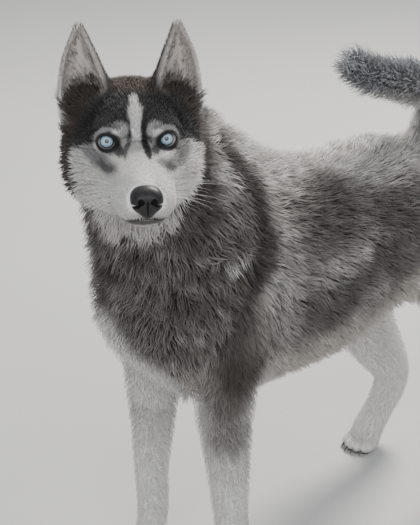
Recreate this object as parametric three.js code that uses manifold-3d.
// A Siberian Husky as a still, life-size model: a standing dog whose head is turned to its left.
// Units are millimetres, +Z up. The dog is shaped in its own frame, +X forward along the trunk and +Y
// to its left, and the group at the end turns it to face -Y.
// The solids are the dog's outer form, out to the tips of its coat. The whole animal is one signed
// distance field, blended from limbs (oval rings along a curved axis) and lumps (ellipsoids). Each
// region is meshed from that field with its own cell size, and thin cuts part the nodes.
import * as THREE from "three";
import { mergeVertices } from "three/addons/utils/BufferGeometryUtils.js";
import Module from "manifold-3d";

const wasm = await Module();
wasm.setup();

// Driving sizes
const CUT = 0.4; // width of each thin cut
// Sizes of the mesh's cells along X, Y and Z
const CELL = {
  head: [13, 13, 13],
  ear: [10, 9, 13],
  body: [48, 29, 41],
  tail: [30, 26, 26],
  leg: [22, 21, 45],
  paw: [14, 11, 13],
};
const HEAD = { at: [340, 103, 688], yaw: 54.6, pitch: -3, roll: 0 }; // the point between the eyes
const EYE = { at: [-6, 32, 0], radius: 11 }; // in the head's frame, on the dog's left
const EYE_OPENING = { at: [9, 33, 0], half: [14, 12.5, 9] }; // between the lids
const NOSE = { at: [88, 0, -39], half: [14, 17, 15] };
const FORE_TRACK = 76; // each forefoot from the midline
const HIND_TRACK = 84;
const WRIST = 66; // heights of the cuts across each leg
const ELBOW = 264;
const HOCK = 66;
const KNEE = 262;
const INSIDE = 16; // how near to the midline the legs' nodes reach

const degrees = (angle) => (angle * Math.PI) / 180;
const vector = (p) => new THREE.Vector3(p[0], p[1], p[2]);
const bothSides = (make) => [1, -1].map(make);

// Signed distances
function smoothMin(a, b, blend) {
  const h = Math.max(blend - Math.abs(a - b), 0) / blend;
  return Math.min(a, b) - (h * h * blend) / 4;
}

// A lump is an ellipsoid with its middle, half sizes, depth of coat and a turn in degrees.
function lump({ at, half, coat = 0, roll = 0, pitch = 0, yaw = 0 }) {
  const turn = new THREE.Euler(degrees(roll), degrees(pitch), degrees(yaw), "ZYX");
  const unturn = new THREE.Matrix4().makeRotationFromEuler(turn).transpose();
  const radii = vector(half).addScalar(coat);
  const middle = vector(at);
  const q = new THREE.Vector3();
  return (p) => {
    q.copy(p).sub(middle).applyMatrix4(unturn);
    const reach = q.length();
    const share = q.divide(radii).length();
    return share < 1e-6 ? -Math.min(radii.x, radii.y, radii.z) : reach * (1 - 1 / share);
  };
}

// A limb is a curved axis through stations [x, y, z, side, over, under, coat]: the half width along the
// limb's side vector, the half depths towards and away from side x tangent, and the depth of coat.
const RINGS_PER_SPAN = 5;
function limb({ side = [0, 1, 0], stations }) {
  const last = stations.length - 1;
  const station = (i) => stations[Math.min(Math.max(i, 0), last)];
  const rings = [];
  for (let i = 0; i < last * RINGS_PER_SPAN + 1; i++) {
    const span = Math.min(Math.floor(i / RINGS_PER_SPAN), last - 1);
    const t = i / RINGS_PER_SPAN - span;
    const [a, b, c, d] = [-1, 0, 1, 2].map((step) => station(span + step));
    rings.push(
      b.map((_, j) => {
        const bend = 2 * a[j] - 5 * b[j] + 4 * c[j] - d[j];
        const twist = 3 * (b[j] - c[j]) + d[j] - a[j];
        return b[j] + 0.5 * t * (c[j] - a[j] + t * (bend + t * twist));
      }),
    );
  }
  const frames = rings.slice(1).map((ring, i) => {
    const step = vector(ring).sub(vector(rings[i]));
    const tangent = step.clone().normalize();
    const across = vector(side);
    across.addScaledVector(tangent, -across.dot(tangent)).normalize();
    const over = new THREE.Vector3().crossVectors(across, tangent);
    return { from: vector(rings[i]), step, lengthSq: step.lengthSq(), tangent, across, over };
  });
  const offset = new THREE.Vector3();
  return (p) => {
    let best = Infinity;
    let found = 0;
    let along = 0;
    for (let i = 0; i < frames.length; i++) {
      const { from, step, lengthSq } = frames[i];
      offset.copy(p).sub(from);
      const t = Math.min(Math.max(offset.dot(step) / lengthSq, 0), 1);
      const gap = offset.addScaledVector(step, -t).lengthSq();
      if (gap < best) [best, found, along] = [gap, i, t];
    }
    const { from, step, tangent, across, over } = frames[found];
    const size = (j) => rings[found][j] + (rings[found + 1][j] - rings[found][j]) * along;
    offset.copy(p).sub(from).addScaledVector(step, -along);
    const coat = size(6);
    const rise = offset.dot(over);
    const share = Math.hypot(
      offset.dot(across) / (size(3) + coat),
      rise / ((rise > 0 ? size(4) : size(5)) + coat),
      offset.dot(tangent) / (0.7 * Math.min(size(3), size(4)) + coat),
    );
    return share < 1e-6 ? -size(3) : offset.length() * (1 - 1 / share);
  };
}

// Head, in its own frame: the origin is between the eyes and +X runs along the muzzle.
const headMatrix = new THREE.Matrix4()
  .makeTranslation(...HEAD.at)
  .multiply(
    new THREE.Matrix4().makeRotationFromEuler(
      new THREE.Euler(degrees(HEAD.roll), degrees(HEAD.pitch), degrees(HEAD.yaw), "ZYX"),
    ),
  );
const headInverse = headMatrix.clone().invert();
const fromHead = (x, y, z) => new THREE.Vector3(x, y, z).applyMatrix4(headMatrix);
const HEAD_LUMPS = [
  { at: [-70, 0, 8], half: [58, 52, 40], coat: 9, blend: 10 }, // brain case
  { at: [-36, 0, 12], half: [40, 40, 27], coat: 5, blend: 14 }, // forehead
  ...bothSides((s) => ({ at: [-13, 27 * s, 8], half: [18, 18, 14], coat: 4, blend: 10 })), // brows
  ...bothSides((s) => ({ at: [-36, 38 * s, -22], half: [42, 24, 26], coat: 11, blend: 16 })), // cheeks
  ...bothSides((s) => ({ at: [-12, 28 * s, -50], half: [38, 18, 26], coat: 7, blend: 18 })), // jaw muscles
  ...bothSides((s) => ({ at: [-64, 48 * s, -42], half: [34, 20, 34], coat: 18, blend: 24 })), // ruff
  ...bothSides((s) => ({ at: [-66, 50 * s, 6], half: [28, 20, 34], coat: 11, blend: 16 })), // temples
  { at: [-58, 0, -54], half: [50, 44, 30], coat: 16, blend: 24 }, // throat
  { at: [34, 0, -25], half: [60, 21, 18], coat: 2, pitch: 9, blend: 14 }, // bridge of the muzzle
  ...bothSides((s) => ({ at: [8, 25 * s, -27], half: [34, 15, 20], coat: 4, blend: 16 })), // under the eyes
  ...bothSides((s) => ({ at: [54, 15 * s, -45], half: [38, 18, 21], coat: 2, pitch: 2, blend: 12 })), // lips
  { at: [28, 0, -62], half: [55, 22, 16], coat: 3, blend: 14 }, // lower jaw
];
const headParts = HEAD_LUMPS.map((part) => ({ distance: lump(part), blend: part.blend }));
const inHead = new THREE.Vector3();
function headField(p) {
  inHead.copy(p).applyMatrix4(headInverse);
  let d = Infinity;
  for (const part of headParts) d = smoothMin(d, part.distance(inHead), part.blend);
  return d;
}

// An ear is an upright pointed shell: an outer limb hollowed by a narrower one set forward of it.
const EAR_STATIONS = [
  [-64, 46, 18, 30, 22, 20, 2],
  [-66, 50, 42, 31, 20, 17, 2],
  [-68, 53, 64, 25, 16, 13, 2],
  [-71, 54, 84, 18, 11, 9, 2],
  [-74, 54, 103, 9, 6, 6, 2],
  [-76, 54, 113, 4, 4, 4, 2],
];
const EAR_FACING = 22; // degrees outwards
const EAR_CUT = { inner: [18, 64], outer: [86, 32] }; // ends of the cut, across and up
const EAR_REACH = 70; // half size of the box that each ear is meshed in
function earField(s) {
  const [ahead, out] = [Math.cos(degrees(EAR_FACING)), Math.sin(degrees(EAR_FACING))];
  const side = [-out * s, ahead, 0];
  const placed = (forward, shrink) =>
    EAR_STATIONS.map(([x, y, z, across, front, back, coat]) => [
      x + forward * ahead,
      (y + forward * out) * s,
      z,
      Math.max(across - shrink, 2),
      Math.max(front - shrink, 2),
      Math.max(back - shrink, 2),
      coat,
    ]);
  const outer = limb({ side, stations: placed(0, 0) });
  const hollow = limb({ side, stations: placed(13, 7) });
  return (p) => Math.max(outer(p), -hollow(p));
}

const NECK_TOP = fromHead(-90, 0, -24);
const neckField = limb({
  stations: [
    [NECK_TOP.x, NECK_TOP.y, NECK_TOP.z, 50, 52, 50, 24],
    [244, 12, 604, 66, 92, 60, 30],
    [202, 2, 530, 87, 124, 76, 31],
    [170, 0, 450, 80, 130, 90, 28],
  ],
});
const trunkField = limb({
  stations: [
    [218, 0, 408, 62, 60, 104, 26],
    [180, 0, 430, 81, 96, 140, 25],
    [120, 0, 436, 94, 138, 142, 24],
    [50, 0, 432, 98, 138, 138, 24],
    [-40, 0, 432, 100, 118, 136, 26],
    [-120, 0, 438, 92, 104, 122, 26],
    [-190, 0, 448, 88, 94, 94, 26],
    [-246, 0, 444, 64, 68, 62, 28],
  ],
});
const tailField = limb({
  stations: [
    [-254, 0, 496, 26, 26, 28, 16],
    [-294, 4, 538, 20, 20, 20, 24],
    [-304, 8, 582, 16, 16, 16, 28],
    [-278, 12, 614, 14, 14, 14, 31],
    [-226, 15, 630, 12, 12, 12, 32],
    [-168, 18, 648, 10, 10, 10, 31],
    [-124, 21, 664, 8, 8, 8, 30],
    [-97, 23, 680, 6, 6, 6, 28],
  ],
});

// Legs run from the sole up; "over" is towards the front. Toes are lumps round the front of the paw.
function legField(stations, track, s, dx, toe) {
  const [paw] = stations;
  const place = ([x, y, z, ...size], i) => {
    const share = Math.min(1, (stations.length - 1 - i) / 2);
    return [x + dx * share, (track + y) * s, z, ...size];
  };
  const parts = [-1.5, -0.5, 0.5, 1.5].map((k) =>
    lump({
      at: [
        paw[0] + dx + toe.reach - 3.4 * k * k,
        (track + paw[1] + k * toe.pitch) * s,
        toe.radius,
      ],
      half: [toe.length, toe.radius, toe.radius],
      coat: 2,
      yaw: 5 * k * s,
    }),
  );
  const shaft = limb({ stations: stations.map(place) });
  return (p) => parts.reduce((d, part) => smoothMin(d, part(p), 5), shaft(p));
}
const FORELEG = [
  [184, 0, 13, 25, 22, 20, 3],
  [180, 0, 32, 23, 21, 22, 4],
  [170, 0, 62, 19, 18, 18, 5],
  [167, 0, 104, 19, 20, 20, 5],
  [169, -1, 150, 20, 21, 20, 6],
  [170, -6, 220, 24, 26, 25, 9],
  [170, -10, 296, 33, 34, 27, 12],
  [166, -6, 370, 34, 40, 40, 16],
  [142, -8, 450, 28, 40, 54, 18],
];
const HINDLEG = [
  [-288, 9, 13, 24, 18, 22, 3],
  [-298, 8, 32, 22, 22, 22, 4],
  [-318, 4, 62, 20, 22, 21, 5],
  [-332, -2, 97, 21, 27, 26, 6],
  [-331, -5, 132, 22, 32, 28, 6],
  [-294, -4, 190, 26, 44, 36, 9],
  [-248, 2, 264, 34, 54, 54, 14],
  [-216, -6, 352, 38, 50, 76, 18],
  [-206, -24, 430, 38, 66, 70, 22],
];
const LEGS = [
  { name: "left_fore", s: 1, hind: false, dx: 0 },
  { name: "right_fore", s: -1, hind: false, dx: 3 },
  { name: "left_hind", s: 1, hind: true, dx: -82 },
  { name: "right_hind", s: -1, hind: true, dx: -4 },
].map((leg) => {
  const field = leg.hind
    ? legField(HINDLEG, HIND_TRACK, leg.s, leg.dx, { reach: 17, pitch: 11.5, length: 17, radius: 9.5 })
    : legField(FORELEG, FORE_TRACK, leg.s, leg.dx, { reach: 17, pitch: 13, length: 19, radius: 10.5 });
  return { ...leg, field };
});

const earFields = { left: earField(1), right: earField(-1) };
const EAR_BLEND = 10;
function headWithEars(p) {
  let d = dogField(p);
  inHead.copy(p).applyMatrix4(headInverse);
  d = smoothMin(d, earFields.left(inHead), EAR_BLEND);
  return smoothMin(d, earFields.right(inHead), EAR_BLEND);
}

function dogField(p, tailTop = Infinity) {
  let d = smoothMin(trunkField(p), neckField(p), 60);
  d = smoothMin(d, headField(p), 24);
  for (const leg of LEGS) d = smoothMin(d, leg.field(p), 30);
  return smoothMin(d, Math.max(tailField(p), p.z - tailTop), 18);
}
const TAIL_ROOT_TOP = 565; // the body's mesh holds the tail only up to here

// Surface nets: a quad round each crossed edge of the grid, and in each crossed cell one vertex for
// each joined group of inside corners, so that two sheets that pass through one cell stay apart.
const CORNERS = [...Array(8).keys()].map((c) => [c & 1, (c >> 1) & 1, c >> 2]);
function meshOf(field, low, high, cell) {
  const n = low.map((a, axis) => Math.ceil((high[axis] - a) / cell[axis]) + 1);
  const stride = [1, n[0], n[0] * n[1]];
  const value = new Float32Array(n[0] * n[1] * n[2]);
  const p = new THREE.Vector3();
  const eachNode = (visit) => {
    for (let k = 0; k < n[2]; k++)
      for (let j = 0; j < n[1]; j++) for (let i = 0; i < n[0]; i++) visit([i, j, k]);
  };
  const indexOf = ([i, j, k]) => i + stride[1] * j + stride[2] * k;
  eachNode((at) => {
    p.set(...at.map((step, axis) => low[axis] + step * cell[axis]));
    const rim = at.some((step, axis) => step === 0 || step === n[axis] - 1);
    const d = field(p);
    value[indexOf(at)] = rim ? Math.max(d, cell[0] / 2) : d;
  });

  const vertexAt = new Map(); // from 8 x cell + inside corner to the vertex of its group
  const positions = [];
  eachNode((at) => {
    if (at.some((step, axis) => step === n[axis] - 1)) return;
    const here = indexOf(at);
    const corners = CORNERS.map((o) => value[here + indexOf(o)]);
    const seen = new Set();
    for (let seed = 0; seed < 8; seed++) {
      if (corners[seed] >= 0 || seen.has(seed)) continue;
      const group = [seed];
      const sum = [0, 0, 0];
      let crossings = 0;
      seen.add(seed);
      for (const a of group)
        for (let axis = 0; axis < 3; axis++) {
          const b = a ^ (1 << axis);
          if (corners[b] < 0) {
            if (!seen.has(b)) group.push(b);
            seen.add(b);
            continue;
          }
          const t = corners[a] / (corners[a] - corners[b]);
          for (let m = 0; m < 3; m++) sum[m] += CORNERS[a][m] + t * (CORNERS[b][m] - CORNERS[a][m]);
          crossings++;
        }
      if (!crossings) continue;
      for (const a of group) vertexAt.set(8 * here + a, positions.length / 3);
      positions.push(
        ...at.map((step, axis) => low[axis] + (step + sum[axis] / crossings) * cell[axis]),
      );
    }
  });

  const triangles = [];
  eachNode((at) => {
    const here = indexOf(at);
    for (let axis = 0; axis < 3; axis++) {
      if (at[axis] === n[axis] - 1) continue;
      const inside = value[here] < 0;
      if (inside === value[here + stride[axis]] < 0) continue;
      const [u, v] = [(axis + 1) % 3, (axis + 2) % 3];
      const quad = [[0, 0], [1, 0], [1, 1], [0, 1]].map(([backU, backV]) => {
        const corner = (backU << u) | (backV << v) | ((inside ? 0 : 1) << axis);
        return vertexAt.get(8 * (here - backU * stride[u] - backV * stride[v]) + corner);
      });
      if (inside) quad.reverse();
      triangles.push(quad[0], quad[2], quad[1], quad[0], quad[3], quad[2]);
    }
  });
  return solidFrom(new Float32Array(positions), new Uint32Array(triangles));
}

const solidFrom = (vertProperties, triVerts) =>
  new wasm.Manifold(new wasm.Mesh({ numProp: 3, vertProperties, triVerts }));

// A solid from three.js geometry, for cutting and for small parts.
function solidOf(geometry, matrix = new THREE.Matrix4()) {
  const bare = geometry.clone().applyMatrix4(matrix);
  bare.deleteAttribute("normal");
  bare.deleteAttribute("uv");
  const merged = mergeVertices(bare, 1e-4);
  return solidFrom(merged.attributes.position.array, new Uint32Array(merged.index.array));
}

const FAR = 1400;
// All that lies on the side of a plane that its normal points to, as a big box.
function beyond({ at, to }, gap = CUT / 2) {
  const normal = to.clone().normalize();
  const turn = new THREE.Quaternion().setFromUnitVectors(new THREE.Vector3(0, 0, 1), normal);
  const middle = at.clone().addScaledVector(normal, FAR / 2 + gap);
  const place = new THREE.Matrix4().compose(middle, turn, new THREE.Vector3(1, 1, 1));
  return solidOf(new THREE.BoxGeometry(FAR, FAR, FAR), place);
}
function block(low, high) {
  const size = high.map((h, axis) => h - low[axis]);
  const middle = high.map((h, axis) => (h + low[axis]) / 2);
  return solidOf(
    new THREE.BoxGeometry(...size),
    new THREE.Matrix4().makeTranslation(...middle),
  );
}
const flipped = ({ at, to }) => ({ at, to: to.clone().negate() });
const plane = (at, to) => ({ at: vector(at), to: vector(to) });

// Colour and roughness by the end of the node's name
const LOOKS = [
  ["eye", 0xa3bccb, 0.15],
  ["nose", 0x19191b, 0.4],
  ["ear", 0x6f655f, 0.9],
  ["head", 0xa7a3a0, 0.9],
  ["neck", 0x564c45, 0.9],
  ["trunk", 0x77716b, 0.9],
  ["shoulder", 0x5f574f, 0.9],
  ["forearm", 0x9b968e, 0.9],
  ["paw", 0xd9d5cd, 0.85],
  ["thigh", 0x6c6660, 0.9],
  ["shank", 0xb8b3a9, 0.9],
  ["root", 0x5b5c60, 0.9],
  ["middle", 0x676a70, 0.9],
  ["end", 0x73777e, 0.9],
];
function lookOf(name) {
  const [, color, roughness] = LOOKS.find(([end]) => name.endsWith(end));
  return new THREE.MeshStandardMaterial({ color, roughness, metalness: 0 });
}

const dog = new THREE.Group();
dog.rotation.z = -Math.PI / 2;
// The largest piece of a solid becomes a node. Slivers left by a cut, thinner than WELD, are closed up.
const WELD = 0.02;
function addNode(name, solid) {
  const pieces = solid.decompose().sort((a, b) => b.volume() - a.volume());
  const made = pieces[0].getMesh();
  const positions = new Float32Array(made.numVert * 3);
  for (let i = 0; i < made.numVert; i++)
    positions.set(made.vertProperties.subarray(i * made.numProp, i * made.numProp + 3), i * 3);
  const loose = new THREE.BufferGeometry();
  loose.setAttribute("position", new THREE.BufferAttribute(positions, 3));
  loose.setIndex(new THREE.BufferAttribute(made.triVerts, 1));
  const geometry = mergeVertices(loose, WELD);
  const corners = geometry.index.array;
  const kept = [];
  for (let i = 0; i < corners.length; i += 3) {
    const [a, b, c] = corners.subarray(i, i + 3);
    if (a !== b && b !== c && c !== a) kept.push(a, b, c);
  }
  geometry.setIndex(kept);
  geometry.computeVertexNormals();
  const mesh = new THREE.Mesh(geometry, lookOf(name));
  mesh.name = name;
  dog.add(mesh);
}

const headCut = {
  at: fromHead(-104, 0, -30),
  to: fromHead(-4, 0, 10).sub(fromHead(-104, 0, -30)),
};
const neckCut = plane([190, 0, 500], [0.5, 0, 0.86]);
const tailCuts = [
  plane([-276, 0, 518], [-0.7, 0, 0.7]),
  plane([-290, 0, 606], [0.7, 0, 0.7]),
  plane([-170, 0, 650], [1, 0, 0.2]),
];
const level = (z, up) => plane([0, 0, z], [0, 0, up]);
const floor = beyond(level(0, 1), 0);

// A ball or a stretched ball in the head's frame
function headBall({ at, half }, side = 1) {
  const place = new THREE.Matrix4()
    .makeTranslation(at[0], at[1] * side, at[2])
    .scale(vector(half))
    .premultiply(headMatrix);
  return solidOf(new THREE.SphereGeometry(1, 12, 8), place);
}
const grown = (half, by) => half.map((h) => h + by);
const eyeHalf = [EYE.radius, EYE.radius, EYE.radius];

let head = meshOf(headWithEars, [170, -80, 530], [480, 260, 810], CELL.head)
  .intersect(beyond(headCut))
  .subtract(headBall({ at: NOSE.at, half: grown(NOSE.half, CUT) }));
for (const [name, s] of [["left", 1], ["right", -1]]) {
  head = head
    .subtract(headBall({ at: EYE.at, half: grown(eyeHalf, CUT) }, s))
    .subtract(headBall(EYE_OPENING, s));
  addNode(name + "_eye", headBall({ at: EYE.at, half: eyeHalf }, s));
  const side = fromHead(0, s, 0).sub(fromHead(0, 0, 0));
  const inner = { at: fromHead(0, 4 * s, 0), to: side };
  const root = {
    at: fromHead(-66, EAR_CUT.inner[0] * s, EAR_CUT.inner[1]),
    to: fromHead(0, (EAR_CUT.inner[1] - EAR_CUT.outer[1]) * s, EAR_CUT.outer[0] - EAR_CUT.inner[0])
      .sub(fromHead(0, 0, 0)),
  };
  const middle = fromHead(-66, 50 * s, 70).toArray();
  const ear = meshOf(
    headWithEars,
    middle.map((c) => c - EAR_REACH),
    middle.map((c) => c + EAR_REACH),
    CELL.ear,
  );
  addNode(name + "_ear", ear.intersect(beyond(inner)).intersect(beyond(root)));
  head = head.subtract(beyond(root, -CUT / 2).intersect(beyond(inner, 0)));
}
addNode("head", head);
addNode("nose", headBall(NOSE));

const body = meshOf(
  (p) => dogField(p, TAIL_ROOT_TOP),
  [-420, -200, 180],
  [420, 220, 780],
  CELL.body,
).intersect(beyond(flipped(headCut)));
addNode("neck", body.intersect(beyond(neckCut)));
let trunk = body.intersect(beyond(flipped(neckCut))).intersect(beyond(flipped(tailCuts[0])));

const tail = meshOf(dogField, [-400, -120, 420], [0, 160, 800], CELL.tail).intersect(
  beyond(tailCuts[0]),
);
addNode("tail_root", tail.intersect(beyond(flipped(tailCuts[1]))));
addNode(
  "tail_middle",
  tail.intersect(beyond(tailCuts[1])).intersect(beyond(flipped(tailCuts[2]))),
);
addNode("tail_end", tail.intersect(beyond(tailCuts[2])));

// The shoulder or thigh is the part of the body inside an oval prism on its side, its top tilted forward.
function flank({ x, z, halfX, halfZ, inner, tilt }, s, grow) {
  const oval = new THREE.CylinderGeometry(1, 1, 300, 20);
  const place = new THREE.Matrix4()
    .makeTranslation(x, s * (inner + 150 - grow), z)
    .multiply(new THREE.Matrix4().makeRotationY(degrees(tilt)))
    .scale(new THREE.Vector3(halfX + grow, 1, halfZ + grow));
  return solidOf(oval, place);
}
for (const leg of LEGS) {
  const [x0, x1] = leg.hind ? [-470, -150] : [60, 260];
  const [y0, y1] = leg.s > 0 ? [INSIDE, 190] : [-190, -INSIDE];
  const [foot, joint, top, pawName, midName] = leg.hind
    ? [HOCK, KNEE, "thigh", "hind_paw", "shank"]
    : [WRIST, ELBOW, "shoulder", "fore_paw", "forearm"];
  const name = leg.name.split("_")[0];
  const oval = leg.hind
    ? { x: -232 + leg.dx * 0.6, z: 334, halfX: 88, halfZ: 146, inner: 40, tilt: 16 - leg.dx * 0.22 }
    : { x: 156, z: 372, halfX: 66, halfZ: 130, inner: 56, tilt: 0 };
  const whole = meshOf(leg.field, [x0, y0, -30], [x1, y1, joint + 60], CELL.leg);
  const paw = meshOf(leg.field, [x0, y0, -20], [x1, y1, foot + 20], CELL.paw);
  const upper = body.intersect(beyond(level(joint, 1)));
  addNode(name + "_" + top, upper.intersect(flank(oval, leg.s, 0)));
  trunk = trunk.subtract(flank(oval, leg.s, CUT)).subtract(block([x0, y0, -100], [x1, y1, joint]));
  addNode(
    name + "_" + midName,
    whole.intersect(block([x0, y0, foot + CUT], [x1, y1, joint - CUT])),
  );
  addNode(name + "_" + pawName, paw.intersect(beyond(level(foot, -1))).intersect(floor));
}
addNode("trunk", trunk);

// The origin is on the ground, under the middle of the dog's outline.
const bounds = new THREE.Box3().setFromObject(dog);
const middle = bounds.getCenter(new THREE.Vector3());
dog.position.set(-middle.x, -middle.y, -bounds.min.z);

export default dog;
